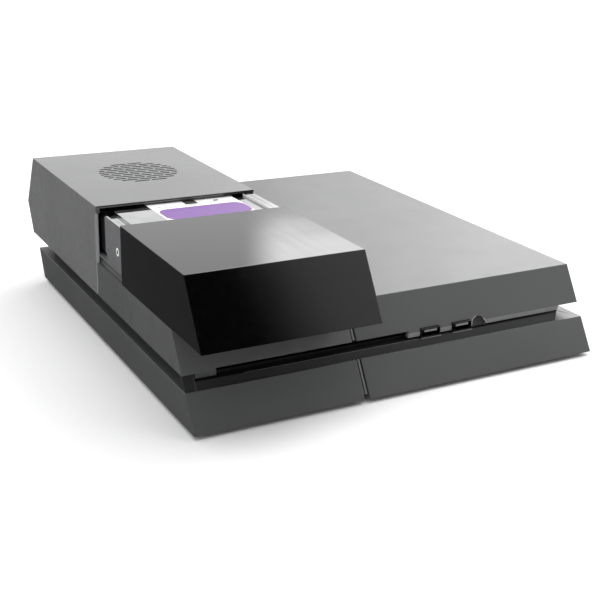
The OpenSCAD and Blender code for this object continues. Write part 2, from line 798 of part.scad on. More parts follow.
// Flat lead from the console's drive bay to the bank's board
module link_cable() color("#3a3d42") place() {
    lead_x0 = 54;
    lead_x1 = 78;
    lead_t = 0.8;
    low = disc_z1 + 2.4;
    high = z_top - wall - 0.6;
    riser_y = drive_y1 + 6.6;
    block(lead_x0, lead_x1, 122, 197 + lead_t, low, low + lead_t);
    block(lead_x0, lead_x1, 197, 197 + lead_t, low, high);
    block(lead_x0, lead_x1, 197, riser_y + lead_t, high - lead_t, high);
    block(lead_x0, lead_x1, riser_y, riser_y + lead_t, high - lead_t, z_top + 12);
}

module bank_base() color("#26272a") place() difference() {
    union() {
        // front tray, of the same section as the console's upper layer
        difference() {
            slab(0, gap_x0, [
                [front_y(z_upper), z_upper],
                [housing_y - 0.2, z_upper],
                [housing_y - 0.2, z_top],
                [front_y(z_top), z_top]
            ]);
            slab(wall, gap_x0 + 1, [
                [front_y(z_upper - 1) + front_run, z_upper - 1],
                [housing_y + 1, z_upper - 1],
                [housing_y + 1, z_top - wall],
                [front_y(z_top - wall) + front_run, z_top - wall]
            ]);
        }
        // deck that runs on inside the housing
        block(housing_wall + 0.3, deck_x1, housing_y - 1, deck_y1, z_top - wall, z_top);
        // ribs that rest on the groove's core
        for (y = [62, 106]) block(1, 9.4, y, y + 2, z_upper, z_top - 1);
        // guide rails
        for (x = rail_x) block(x, x + rail_w, rail_y0, rail_y1, z_top, cradle_z);
    }
    block(slot_x0, gap_x0 + 1, front_y(z_upper) - 4, core_y0, z_upper - 1, z_upper + 1);
    // grooves in the rails' outer faces, which hold the sliding cover down
    for (x = [rail_in - 1, bank_w - rail_in - groove_d])
        block(x, x + 1 + groove_d, rail_y0 - 1, housing_y - 1, groove_z[0], groove_z[1]);
    // holes for the cradle's screws and the housing's screws
    for (p = cradle_screw_xy) post(p[0], p[1], z_top - wall - 1, cradle_z + 1, 1 + screw_clear);
    for (p = housing_screw_xy) post(p[0], p[1], z_top - wall - 1, z_top + 1, 1.7);
    // mouth for the flat lead
    block(52, 80, drive_y1 + 6, drive_y1 + 9, z_top - wall - 1, z_top + 1);
}

module bank_housing() color("#2a2b2d") place() difference() {
    union() {
        difference() {
            union() {
                slab(0, bank_w, [
                    [housing_y, z_top],
                    [housing_peak, z_top],
                    [housing_top_y, z_bank],
                    [housing_y, z_bank]
                ]);
                slab(0, gap_x0, [
                    [housing_y, z_upper],
                    [housing_skirt, z_upper],
                    [housing_peak, z_top],
                    [housing_y, z_top]
                ]);
            }
            slab(housing_wall, inner_x1, [
                [housing_y - 1, z_top - 0.01],
                [housing_peak - housing_rear_t, z_top - 0.01],
                [housing_top_y - housing_rear_t + housing_lean * roof_t, z_bank - roof_t],
                [housing_y - 1, z_bank - roof_t]
            ]);
            slab(housing_wall, gap_x0 - housing_wall, [
                [housing_y - 1, z_upper - 1],
                [housing_skirt - housing_skirt_t, z_upper - 1],
                [housing_peak - housing_rear_t, z_top],
                [housing_y - 1, z_top]
            ]);
            // bevel down the front edge of the left wall
            plan(z_upper - 1, z_bank - lip_h, [
                [-1, housing_y - 1],
                [bevel, housing_y - 1],
                [bevel, housing_y + 0.01],
                [-0.01, housing_y + bevel],
                [-1, housing_y + bevel]
            ]);
        }
        // thin brow over the opening, and its two corners
        block(0, bank_w, housing_y - lip_out, housing_y + 2, z_bank - brow_t, z_bank);
        for (x = [[0, housing_wall + corner_w], [inner_x1 - corner_w, bank_w]])
            block(x[0], x[1], housing_y, housing_y + 1.5, z_bank - lip_h, z_bank - 0.1);
        // posts for the screws from below
        for (p = housing_screw_xy) post(p[0], p[1], z_top, z_bank - 1, 4);
    }
    // the roof is thinner behind the brow
    block(housing_wall + corner_w, inner_x1 - corner_w, housing_y - 0.1, housing_y + brow_d,
        z_bank - roof_t - 1, z_bank - brow_t);
    for (p = housing_screw_xy) post(p[0], p[1], z_top - 1, z_top + 16, screw_r + screw_clear);
    // the disc drive passes through the skirt's right wall
    block(gap_x0 - housing_wall - 1, gap_x0 + 1, housing_y - 1, disc_y1 + 1.5, z_upper - 1, disc_z1 + 2);
    grille_slots();
}

// Rows of slots, clipped to a circle and broken by webs that step from row to row
module grille_slots() {
    pitch = 2 * grille_r / grille_rows;
    span = 13.5;
    web = 1.6;
    for (i = [0 : grille_rows - 1]) {
        y = (i - (grille_rows - 1) / 2) * pitch;
        half = sqrt(grille_r * grille_r - y * y);
        first = -ceil((half + span) / span);
        for (k = [first : -first]) {
            a = max(k * span + web / 2 + (i % 2) * span / 2, -half);
            b = min((k + 1) * span - web / 2 + (i % 2) * span / 2, half);
            z = z_bank - roof_t - 1;
            if (b - a > 2)
                block(grille_x + a, grille_x + b, grille_y + y - 1.1, grille_y + y + 1.1, z, z_bank + 1);
        }
    }
}

module bank_screws() color("#8f9294") place() {
    for (p = housing_screw_xy) difference() {
        union() {
            post(p[0], p[1], z_top - wall - 1.6, z_top - wall, 2.8);
            post(p[0], p[1], z_top - wall, z_top + 12, 1.5);
        }
        translate([p[0], p[1], z_top - wall - 3]) cylinder(h = 2.4, r = 1.1, $fn = 6);
    }
}

module bank_board() color("#21503a") place() {
    block(20, 92, drive_y1 + 5, drive_y1 + 6.6, z_top + 4.2, z_top + 26);
    block(24, 60, drive_y1 - 3, drive_y1 + 5, drive_z0 + 1.8, drive_z0 + 3.4);
    block(24, 60, drive_y1 - 3, drive_y1 + 5, drive_z0 + 5.6, drive_z0 + 7.2);
    block(24, 60, drive_y1 + 0.6, drive_y1 + 5, drive_z0 + 3.4, drive_z0 + 5.6);
    for (i = [0 : 2]) block(66 + 8 * i, 71 + 8 * i, drive_y1 + 3.4, drive_y1 + 5, z_top + 10, z_top + 16);
    // foot of the board and the lead's clamp
    for (x = [20, 86]) block(x, x + 6, drive_y1 + 5, drive_y1 + 6.6, z_top, z_top + 4.2);
}

module drive_cradle() color("#35373a") place() difference() {
    union() {
        block(cheek_x0, bank_w - cheek_x0, cheek_y0, housing_y - 1, cradle_z, cradle_z + cradle_t);
        block(housing_wall + 0.4, inner_x1 - 0.4, housing_y - 2, cradle_y1, cradle_z, cradle_z + cradle_t);
        for (side = [0, 1]) {
            outer = side == 0 ? cheek_x0 : bank_w - cheek_x0 - cheek_t;
            inner = side == 0 ? cheek_x0 + cheek_t - leg_t : bank_w - cheek_x0 - cheek_t;
            block(outer, outer + cheek_t, cheek_y0, cheek_y1[side], cheek_z0, cheek_z1[side]);
            block(inner, inner + leg_t, cheek_y0, cheek_y1[side], cradle_z, cheek_z0 + 0.1);
        }
        block(bank_w - cheek_x0 - flange_w, bank_w - cheek_x0 - cheek_t, cheek_y0, cheek_y1[1],
            cheek_z1[1] - flange_t, cheek_z1[1]);
    }
    // scored line along the flange
    block(score_x0, score_x0 + score_w, cheek_y0 - 1, cheek_y1[1] + 1,
        cheek_z1[1] - score_d, cheek_z1[1] + 1);
    // screw seats in the cheeks
    for (x = [cheek_x0 - 1, bank_w - cheek_x0 - 0.7])
        rod_x(x, x + 1.7, side_screw_y[0], side_screw_z, side_head_r + 0.05);
    rod_x(0, bank_w, side_screw_y[0], side_screw_z, screw_r + 0.05);
    // small location hole near the left cheek's rear edge
    rod_x(-1, 4, cheek_y1[0] - 4.5, cheek_z0 + 2.6, 0.7);
    for (p = cradle_screw_xy) post(p[0], p[1], cradle_z - 1, cradle_z + cradle_t + 1, 1.1);
}

module cradle_screws() color("#a5a8aa") place() {
    for (p = cradle_screw_xy) {
        post(p[0], p[1], cradle_z + cradle_t, cradle_z + cradle_t + 0.8, 1.25);
        post(p[0], p[1], z_top, cradle_z + cradle_t, 1);
    }
}

module drive_side_screws() color("#d8dadb") place()
    for (side = [0, 1]) translate([side * bank_w, 0, 0]) mirror([side, 0, 0]) difference() {
        y = side_screw_y[0];
        union() {
            rod_x(cheek_x0 + 0.05, cheek_x0 + 0.7, y, side_screw_z, side_head_r);
            rod_x(cheek_x0 + 0.7, drive_x0 + 4, y, side_screw_z, screw_r);
        }
        rod_x(cheek_x0 - 1, cheek_x0 + 1.2, y, side_screw_z, recess_r);
    }

// ---- Hard drive ----

module drive_casting() color("#b9bcbe") place() difference() {
    block(drive_x0, drive_x1, drive_y0, drive_y1, casting_z0, casting_z1);
    // shallow shelf round the lid
    difference() {
        block(drive_x0 - 1, drive_x1 + 1, drive_y0 - 1, drive_y1 + 1, casting_z1 - 1.6, casting_z1 + 1);
        block(drive_x0 + 1.4, drive_x1 - 1.4, drive_y0 + 1.2, drive_y1 - 2, casting_z1 - 2, casting_z1 + 2);
    }
    // room for the platters and the actuator
    post(hub_x, hub_y, casting_z0 + 3, casting_z1 + 1, platter_r + 0.9);
    block(drive_x0 + 14, drive_x1 - 5, hub_y + 34, drive_y1 - 8, casting_z0 + 3, casting_z1 + 1);
    // holes for the spindle's axle, the arm's pivot, the side screws and the bottom screws
    post(hub_x, hub_y, casting_z0 + 1, casting_z0 + 4, 3.04);
    post(arm_x, arm_y, casting_z0 + 1, casting_z0 + 4, 2.53);
    for (y = side_screw_y) {
        rod_x(drive_x0 - 1, drive_x0 + 4.4, y, side_screw_z, screw_r + screw_clear);
        rod_x(drive_x1 - 4.4, drive_x1 + 1, y, side_screw_z, screw_r + screw_clear);
    }
    for (x = [drive_x0 + 3.2, drive_x1 - 3.2], y = [drive_y0 + 62, drive_y0 + 106])
        post(x, y, casting_z0 - 1, casting_z0 + 4, 1.6);
    // recess for the drive's connector
    block(20.4, 64, drive_y1 - 9.2, drive_y1 + 1, casting_z0 - 1, drive_z0 + 8.4);
    for (p = lid_screw_xy) post(p[0], p[1], casting_z1 - 6, casting_z1 + 1, 1.03);
}

module drive_lid() color("#c8cbcd") place() difference() {
    union() {
        block(drive_x0 + 1.6, drive_x1 - 1.6, drive_y0 + 1.4, drive_y1 - 2.2,
            casting_z1, casting_z1 + lid_flange_t);
        // raised field that stiffens the lid
        block(field_x0, field_x1, field_y0, field_y1, casting_z1 + lid_flange_t, drive_z1 - label_t);
    }
    // hollow of the raised field
    block(field_x0 + field_t, field_pocket_x1, field_y0 + field_t, field_y1 - field_t,
        casting_z1 - 1, drive_z1 - label_t - field_t);
    for (p = lid_screw_xy) {
        post(p[0], p[1], casting_z1 - 1, drive_z1 + 1, 1.2);
        post(p[0], p[1], casting_z1 + lid_flange_t, drive_z1 + 1, 2.3);
    }
}

module lid_screws() color("#8a8d90") place() {
    for (p = lid_screw_xy) {
        z = casting_z1 + lid_flange_t;
        post(p[0], p[1], casting_z1 - 5, z, 1);
        difference() {
            post(p[0], p[1], z, z + 0.4, 1.9);
            post(p[0], p[1], z + 0.2, z + 1, 0.8);
        }
    }
}

module drive_label() color("#f5f5f5") place() {
    block(label_x0, label_x1, drive_y0 + 12, drive_y1 - 14, drive_z1 - label_t, drive_z1);
}

module drive_board() color("#1d4f37") place() {
    block(drive_x0 + 2, drive_x1 - 2, drive_y0 + 30, drive_y1 - 9, drive_z0, drive_z0 + pcb_t);
    for (i = [0 : 3])
        block(30 + 14 * i, 40 + 14 * i, drive_y0 + 60, drive_y0 + 72, drive_z0 - 0.6, drive_z0);
    // connector with its contact tongue
    block(22, 62, drive_y1 - 9, drive_y1 - 6.5, drive_z0, drive_z0 + 7.6);
    block(25, 59, drive_y1 - 6.5, drive_y1 - 0.2, drive_z0 + 3.9, drive_z0 + 5.1);
}

module platters() color("#d7dadd") place() {
    post(hub_x, hub_y, casting_z0 + 1.2, casting_z0 + 3.6, 3);
    post(hub_x, hub_y, casting_z0 + 3.6, casting_z1 - 0.8, 12.5);
    for (z = platter_zs) difference() {
        post(hub_x, hub_y, z, z + platter_t, platter_r);
        post(hub_x, hub_y, z - 1, z + platter_t + 1, 12.5);
    }
}

module actuator_arm() color("#aeb2b5") place() translate([arm_x, arm_y, 0]) {
    post(0, 0, casting_z0 + 1.2, casting_z0 + 3.6, 2.5);
    post(0, 0, casting_z0 + 3.6, casting_z1 - 0.8, 7);
    for (z = [for (p = platter_zs) p + 2.5]) rotate([0, 0, parked])
        plan(z, z + 0.9, [[0, -5.5], [arm_l, -1.2], [arm_l, 1.2], [0, 5.5]]);
    // voice coil behind the pivot
    rotate([0, 0, parked - 180])
        plan(casting_z0 + 9, casting_z0 + 13, [[4, -4], [15, -7], [15, 7], [4, 4]]);
}

// ---- Sliding cover ----

module front_cover() color("#1b1c1e") place() {
    difference() {
        slab(0, bank_w, [
            [front_most, cover_z0],
            [cover_y1, cover_z0],
            [cover_y1, z_bank],
            [cover_y0, z_bank]
        ]);
        slab(cover_wall, bank_w - cover_wall, [
            [front_most + 2 - front_slope, cover_z0 - 1],
            [cover_y1 + 1, cover_z0 - 1],
            [cover_y1 + 1, z_bank - cover_wall],
            [cover_y0 + 2 + front_slope * cover_wall, z_bank - cover_wall]
        ]);
    }
    // hooks that run in the rails' grooves
    hook_w = rail_in + groove_d - hook_slack - cover_wall;
    for (x = [cover_wall, bank_w - cover_wall - hook_w], y = hook_y)
        block(x, x + hook_w, y, y + hook_l, groove_z[0] + hook_slack, groove_z[1] - hook_slack);
    // stiffening ribs behind the front face
    for (x = [36, 72]) slab(x, x + 1.4, [
        [front_most + 4, cover_z0 + 3],
        [front_most + 13, cover_z0 + 3],
        [cover_y0 + 13, z_bank - 0.5],
        [cover_y0 + 1, z_bank - 0.5]
    ]);
}

lower_shell();
upper_shell();
mid_frame();
front_trim();
front_lips();
rear_panel();
rubber_feet();
shell_screws();
light_bar();
touch_strips();
lower_accent_strip();
main_board();
board_shield();
clock_battery();
wifi_antenna();
heat_sink();
blower_housing();
blower_impeller();
power_supply();
power_inlet();
disc_drive_case();
disc_drive_lid();
disc_slot_seal();
feed_roller();
disc_spindle();
laser_sled();
sled_rods();
usb_socket_left();
usb_socket_right();
hdmi_socket();
camera_socket();
ethernet_socket();
optical_socket();
bay_adapter();
link_cable();
bank_base();
bank_housing();
bank_screws();
bank_board();
drive_cradle();
cradle_screws();
drive_side_screws();
drive_casting();
drive_lid();
lid_screws();
drive_label();
drive_board();
platters();
actuator_arm();
front_cover();
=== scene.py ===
"""Games console of two slanted layers with a hard-drive bank on its left half."""

import json
import math

import bmesh
import bpy
from mathutils import Matrix, Vector


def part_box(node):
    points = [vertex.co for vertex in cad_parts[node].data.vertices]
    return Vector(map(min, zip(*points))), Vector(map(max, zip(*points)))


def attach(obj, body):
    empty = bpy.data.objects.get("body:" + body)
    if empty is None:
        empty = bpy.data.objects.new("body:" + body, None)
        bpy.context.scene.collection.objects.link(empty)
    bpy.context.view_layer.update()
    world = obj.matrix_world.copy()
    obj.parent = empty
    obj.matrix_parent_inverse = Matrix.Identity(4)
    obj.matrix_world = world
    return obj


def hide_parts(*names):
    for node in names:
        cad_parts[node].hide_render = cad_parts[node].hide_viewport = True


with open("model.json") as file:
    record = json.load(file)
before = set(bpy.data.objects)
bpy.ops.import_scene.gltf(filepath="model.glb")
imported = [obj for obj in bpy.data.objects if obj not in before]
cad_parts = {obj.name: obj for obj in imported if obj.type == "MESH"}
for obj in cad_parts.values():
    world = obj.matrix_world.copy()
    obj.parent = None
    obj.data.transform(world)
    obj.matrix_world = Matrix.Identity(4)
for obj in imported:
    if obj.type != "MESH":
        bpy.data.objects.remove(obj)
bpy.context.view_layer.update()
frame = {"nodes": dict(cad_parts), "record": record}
nodes = frame["nodes"]
MM = 0.001

# ---- Camera ----

# Viewing angle, in degrees: about Z from the front, above the horizon, and the tilt of the picture
AZIMUTH, ELEVATION, ROLL = -29.049, 20.426, 1.726
CAMERA_AT = Vector((-0.334349, -0.61645, 0.267984))
LENS, SENSOR = 64.30, 36
CLIP_END = 50


def make_camera():
    az, el, roll = (math.radians(a) for a in (AZIMUTH, ELEVATION, ROLL))
    back = Vector((math.sin(az) * math.cos(el), -math.cos(az) * math.cos(el), math.sin(el)))
    right = Vector((0, 0, 1)).cross(back).normalized()
    up = back.cross(right)
    right, up = (right * math.cos(roll) + up * math.sin(roll),
                 up * math.cos(roll) - right * math.sin(roll))
    data = bpy.data.cameras.new("camera")
    data.lens = LENS
    data.sensor_width = SENSOR
    data.clip_end = CLIP_END
    camera = bpy.data.objects.new("camera", data)
    bpy.context.scene.collection.objects.link(camera)
    turn = Matrix((right, up, back)).transposed().to_4x4()
    camera.matrix_world = Matrix.Translation(CAMERA_AT) @ turn
    bpy.context.scene.camera = camera


make_camera()

# ---- Node helpers ----

# Numbers of the Mix node's colour sockets, whose names it repeats for other data types
MIX_A, MIX_B, MIX_RESULT = 6, 7, 2


class Nodes:
    """A short way to build one material's node tree."""

    def __init__(self, tree):
        self.tree = tree
        tree.nodes.clear()

    def new(self, kind, **values):
        """A new node, with values set on its properties."""
        node = self.tree.nodes.new(kind)
        for name, value in values.items():
            setattr(node, name, value)
        return node

    def link(self, a, b):
        self.tree.links.new(a, b)

    def value(self, node, name, value):
        """Set an input socket's own value."""
        node.inputs[name].default_value = value

    def coordinates(self, scale=(1, 1, 1)):
        """Object coordinates in metres, stretched by scale."""
        coords = self.new("ShaderNodeTexCoord")
        mapping = self.new("ShaderNodeMapping")
        mapping.inputs["Scale"].default_value = scale
        self.link(coords.outputs["Object"], mapping.inputs["Vector"])
        return mapping.outputs["Vector"]

    def noise(self, scale, detail=2, stretch=(1, 1, 1)):
        """Noise with scale lumps to the metre, squeezed by stretch along each axis."""
        node = self.new("ShaderNodeTexNoise")
        self.value(node, "Scale", scale)
        self.value(node, "Detail", detail)
        self.link(self.coordinates(stretch), node.inputs["Vector"])
        return node.outputs["Fac"]

    def remap(self, source, low, high, from_low=0.3, from_high=0.7, smooth=False):
        """source moved from one range to another, and kept within it; noise lies mostly
        between 0.3 and 0.7."""
        node = self.new("ShaderNodeMapRange")
        if smooth:
            node.interpolation_type = "SMOOTHSTEP"
        self.value(node, "From Min", from_low)
        self.value(node, "From Max", from_high)
        self.value(node, "To Min", low)
        self.value(node, "To Max", high)
        self.link(source, node.inputs["Value"])
        return node.outputs["Result"]

    def mix(self, factor, a, b):
        """Mix of two colours; each is a socket or an (r, g, b)."""
        node = self.new("ShaderNodeMix", data_type="RGBA")
        self.link(factor, node.inputs["Factor"])
        for socket, colour in ((node.inputs[MIX_A], a), (node.inputs[MIX_B], b)):
            if isinstance(colour, bpy.types.NodeSocket):
                self.link(colour, socket)
            else:
                socket.default_value = (*colour, 1)
        return node.outputs[MIX_RESULT]

    def math(self, operation, a, b, clamp=False):
        """One operation on two values; each is a socket or a number."""
        node = self.new("ShaderNodeMath", operation=operation, use_clamp=clamp)
        for i, value in enumerate((a, b)):
            if isinstance(value, bpy.types.NodeSocket):
                self.link(value, node.inputs[i])
            else:
                node.inputs[i].default_value = value
        return node.outputs[0]

    def bump(self, heights):
        """A chain of bumps from (height socket, depth in metres) pairs."""
        normal = None
        for height, depth in heights:
            node = self.new("ShaderNodeBump")
            self.value(node, "Distance", depth)
            self.value(node, "Strength", 1.0)
            self.link(height, node.inputs["Height"])
            if normal is not None:
                self.link(normal, node.inputs["Normal"])
            normal = node.outputs["Normal"]
        return normal


def shader(name, build, **fixed):
    """A material with a Principled shader: fixed values are set on its sockets, and build
    returns the sockets that drive the rest."""
    material = bpy.data.materials.new(name)
    material.use_nodes = True
    tree = Nodes(material.node_tree)
    output = tree.new("ShaderNodeOutputMaterial")
    bsdf = tree.new("ShaderNodeBsdfPrincipled")
    tree.link(bsdf.outputs["BSDF"], output.inputs["Surface"])
    for key, value in fixed.items():
        bsdf.inputs[key.replace("_", " ")].default_value = value
    for key, socket in build(tree).items():
        tree.link(socket, bsdf.inputs[key])
    return material


# ---- Materials ----

# Noise scales, per metre, of the finest grain and the pits in moulded plastic, and of fibres
SPECK, PITS, FIBRE = 5200, 1500, 1500


def moulded(name, colour, rough, grain=0.00001, fade=1.35, specular=0.5):
    """Satin moulded plastic: fine spark-eroded grain, faint flow marks, dulled rubbed places.
    grain is the grain's depth in metres, and the flow marks are fade times the colour."""
    def build(t):
        flow = t.noise(9, 3, (1, 2.2, 1))
        drift = t.noise(38, 4)
        speck = t.noise(SPECK, 2)
        pits = t.noise(PITS, 3)
        light = tuple(min(1, c * fade) for c in colour)
        base = t.mix(t.remap(flow, 0, 1, 0.35, 0.65), colour, light)
        dulled = t.remap(drift, rough - 0.015, rough + 0.025)
        roughness = t.math("ADD", dulled, t.remap(speck, -0.02, 0.03))
        return {
            "Base Color": base,
            "Roughness": roughness,
            "Normal": t.bump([(pits, grain * 1.5), (speck, grain)]),
        }
    return shader(name, build, IOR=1.5, Specular_IOR_Level=specular)


def glossy(name, colour, rough=0.05):
    """High-gloss moulded plastic: almost flat, with slow ripples, hairline rubs and dust."""
    def build(t):
        ripple = t.noise(14, 1, (1, 1.6, 1))
        hair = t.noise(300, 3, (1, 0.05, 1))
        dust = t.noise(2600, 1)
        base = t.mix(t.remap(dust, 0, 1, 0.74, 0.8), colour, (0.05, 0.05, 0.05))
        rubs = t.remap(hair, rough, rough + 0.05, 0.5, 0.75)
        roughness = t.math("ADD", rubs, t.remap(ripple, 0, 0.02))
        return {
            "Base Color": base,
            "Roughness": roughness,
            "Normal": t.bump([(ripple, 0.00012), (hair, 0.0000012)]),
        }
    return shader(name, build, IOR=1.5)


def metal(name, colour, rough, stretch=(1, 40, 40), scale=60, depth=0.000004):
    """Rolled or brushed metal with a few stains. The streaks run along the axis that stretch
    leaves at 1, and are depth metres deep."""
    def build(t):
        streak = t.noise(scale, 4, stretch)
        stain = t.noise(45, 4)
        shade = tuple(c * 0.75 for c in colour)
        base = t.mix(t.remap(stain, 0, 1, 0.35, 0.7), colour, shade)
        return {
            "Base Color": base,
            "Roughness": t.remap(streak, rough * 0.6, rough * 1.5),
            "Normal": t.bump([(streak, depth)]),
        }
    return shader(name, build, Metallic=1.0)


def lips_lighter_rightwards(name, left, right, rough):
    """Satin moulding that grows lighter towards the right, mottled in patches."""
    def build(t):
        axis = t.new("ShaderNodeSeparateXYZ")
        t.link(t.coordinates(), axis.inputs[0])
        # lighter towards the right, along X
        drift = t.remap(axis.outputs["X"], 0, 1, -0.11, 0.03, smooth=True)
        speck = t.noise(SPECK, 2)
        patch = t.noise(260, 3)
        mottled = t.math("ADD", drift, t.remap(patch, -0.15, 0.15))
        return {
            "Base Color": t.mix(t.math("MAXIMUM", mottled, 0.0, clamp=True), left, right),
            "Roughness": t.remap(patch, rough - 0.04, rough + 0.05),
            "Normal": t.bump([(speck, 0.00001)]),
        }
    return shader(name, build)


def rubber(name, colour):
    """Matt rubber, scuffed lighter in places."""
    def build(t):
        grain = t.noise(2400, 3)
        wear = t.noise(160, 3)
        base = t.mix(t.remap(wear, 0, 1), colour, tuple(c * 1.8 for c in colour))
        return {
            "Base Color": base,
            "Roughness": t.remap(wear, 0.62, 0.85),
            "Normal": t.bump([(grain, 0.00002)]),
        }
    return shader(name, build, Specular_IOR_Level=0.3)


def board(name):
    """Solder mask over copper: traces show as a slightly lighter grid, pads as bright specks."""
    def build(t):
        brick = t.new("ShaderNodeTexBrick")
        t.value(brick, "Scale", 260.0)
        t.value(brick, "Mortar Size", 0.03)
        t.link(t.coordinates(), brick.inputs["Vector"])
        mask, mask_on_copper = (0.012, 0.075, 0.035), (0.03, 0.14, 0.07)
        traces = t.mix(t.math("MULTIPLY", brick.outputs["Fac"], 0.6), mask, mask_on_copper)
        pads = t.remap(t.noise(700, 0), 0, 1, 0.74, 0.77)
        base = t.mix(pads, traces, (0.6, 0.55, 0.4))
        return {
            "Base Color": base,
            "Roughness": t.remap(t.noise(90), 0.25, 0.4),
            "Normal": t.bump([(brick.outputs["Fac"], 0.00003)]),
        }
    return shader(name, build)


def clear_strip(name, colour):
    """Frosted light guide."""
    def build(t):
        frost = t.noise(1800, 2)
        return {
            "Base Color": t.mix(t.remap(frost, 0, 1), colour, tuple(c * 0.85 for c in colour)),
            "Roughness": t.remap(frost, 0.2, 0.34),
            "Normal": t.bump([(frost, 0.000008)]),
        }
    return shader(name, build)


def paper(name):
    """Bright coated paper."""
    def build(t):
        fibre = t.noise(FIBRE, 3)
        return {
            "Base Color": t.mix(t.remap(fibre, 0, 1), (0.93, 0.93, 0.93), (0.86, 0.86, 0.86)),
            "Roughness": t.remap(fibre, 0.34, 0.45),
            "Normal": t.bump([(fibre, 0.000004)]),
        }
    return shader(name, build)


def print_ink(name, colour, rough=0.35):
    """Flat printed ink: a faint screen of dots, paper fibre under it."""
    def build(t):
        screen = t.noise(3200, 1)
        fibre = t.noise(FIBRE, 3)
        base = t.mix(t.remap(screen, 0, 1, 0.4, 0.6), colour, tuple(c * 0.94 for c in colour))
        return {
            "Base Color": base,
            "Roughness": t.remap(fibre, rough - 0.03, rough + 0.05),
            "Normal": t.bump([(fibre, 0.000003)]),
        }
    return shader(name, build, Specular_IOR_Level=0.2)


mat_shell = moulded("shell_black", (0.07, 0.071, 0.072), 0.30, fade=1.12, specular=0.3)
mat_tray = moulded("tray_black", (0.082, 0.083, 0.084), 0.28, fade=1.15)
mat_bank = moulded("bank_black", (0.142, 0.143, 0.144), 0.26, 0.000004, 1.1, 0.42)
mat_lip = lips_lighter_rightwards("lip_black", (0.05, 0.0505, 0.051), (0.2, 0.201, 0.202), 0.3)
# painted highlight: a light plastic for edges where they catch the light
mat_painted_highlight = moulded("painted_highlight_edge", (0.24, 0.24, 0.24), 0.22, 0.000004)
# painted shade: near black for the scoop's shallow dish, standing in for its shadowed hollow
mat_dish_shade = moulded("dish_painted_shade", (0.026, 0.026, 0.027), 0.35, specular=0.08)
# painted highlight: a lighter plastic for the lips under the USB sockets
mat_lip_highlight = moulded("lip_painted_highlight", (0.11, 0.11, 0.11), 0.3, 0.000004)
mat_smoked = glossy("smoked_strip", (0.13, 0.132, 0.135), 0.12)
mat_cover = glossy("cover_gloss", (0.0015, 0.0015, 0.0018))
mat_frame = moulded("frame_black", (0.009, 0.009, 0.010), 0.42, specular=0.25)
mat_trim = moulded("trim_black", (0.014, 0.0143, 0.0146), 0.28, 0.000004, 1.8, 0.2)
mat_rubber = rubber("rubber", (0.022, 0.022, 0.022))
mat_screw = metal("screw_steel", (0.42, 0.42, 0.43), 0.3, (1, 1, 1), 900)
mat_bright = metal("bright_screw", (0.86, 0.86, 0.87), 0.14, (1, 1, 1), 700)
mat_guide = clear_strip("light_guide", (0.5, 0.53, 0.55))
mat_board = board("circuit_board")
mat_shield = metal("shield_steel", (0.55, 0.56, 0.57), 0.34)
mat_flex = moulded("flex_black", (0.03, 0.03, 0.035), 0.45)
mat_sink = metal("heat_sink_metal", (0.68, 0.69, 0.70), 0.36)
mat_fan = moulded("fan_black", (0.018, 0.018, 0.02), 0.4)
mat_motor = metal("motor_metal", (0.32, 0.33, 0.34), 0.4, (1, 1, 1), 400)
mat_socket = metal("socket_steel", (0.5, 0.51, 0.52), 0.3)
mat_cradle = moulded("cradle_metal", (0.125, 0.126, 0.131), 0.33)
# painted shade: the drive's casting is near black, as it lies in the housing's shadow
mat_casting_shade = moulded("casting_black", (0.005, 0.005, 0.0055), 0.5, 0.00003, specular=0.1)
mat_arm = metal("arm_aluminium", (0.62, 0.63, 0.64), 0.3, (1, 1, 1), 500, 0.00001)
mat_lid = metal("lid_steel", (0.5, 0.503, 0.506), 0.07, (1, 30, 30), 70, 0.0000004)
mat_usb_shell = metal("usb_shell", (0.06, 0.06, 0.062), 0.35, (1, 1, 1), 500)
mat_tongue = moulded("tongue_white", (0.17, 0.17, 0.168), 0.4)
# bright nickel for the side screws; on the cradle's turned-down edge it is a painted highlight
mat_nickel_and_highlight = moulded("nickel_and_painted_highlight", (0.8, 0.8, 0.8), 0.2, 0.000002)
mat_gold = metal("contact_gold", (0.85, 0.62, 0.28), 0.2, (1, 1, 1), 900)
mat_bare = metal("bare_steel", (0.5, 0.503, 0.506), 0.1, (40, 1, 40), 60, 0.0000006)
# painted shade: near black for sockets, gaps and lines that lie in shadow
mat_painted_shade = moulded("painted_shade_dark", (0.006, 0.006, 0.006), 0.5)
mat_platter = metal("platter_mirror", (0.85, 0.85, 0.86), 0.08, (1, 1, 1), 200, 0.0)
mat_label = paper("label_paper")
mat_purple = print_ink("purple_ink", (0.2, 0.08, 0.33))
mat_grey_ink = print_ink("grey_ink", (0.22, 0.22, 0.22))
mat_brown_ink = print_ink("dark_ink", (0.05, 0.047, 0.042))
mat_blank = print_ink("blank_sticker", (0.5, 0.5, 0.5), 0.45)
mat_green = print_ink("lamp_green", (0.05, 0.3, 0.06), 0.2)
mat_amber = print_ink("lamp_amber", (0.55, 0.28, 0.03), 0.2)

# The material of each slot in the record
SLOTS = {
    "shell_black": mat_shell, "bank_black": mat_bank, "cover_gloss": mat_cover,
    "frame_black": mat_frame, "trim_black": mat_trim, "lip_black": mat_lip,
    "smoked_strip": mat_smoked, "usb_shell": mat_usb_shell, "rubber": mat_rubber,
    "screw_steel": mat_screw, "bright_screw": mat_bright, "light_guide": mat_guide,
    "circuit_board": mat_board, "shield_steel": mat_shield, "battery_steel": mat_shield,
    "flex_black": mat_flex, "heat_sink_metal": mat_sink, "fan_black": mat_fan,
    "motor_metal": mat_motor, "socket_steel": mat_socket, "cradle_metal": mat_cradle,
    "casting_black": mat_casting_shade, "arm_aluminium": mat_arm, "lid_steel": mat_lid,
    "label_paper": mat_label, "platter_mirror": mat_platter,
}

# The tray is of the same stuff as the housing, but darker
OWN = {"bank_base": mat_tray}

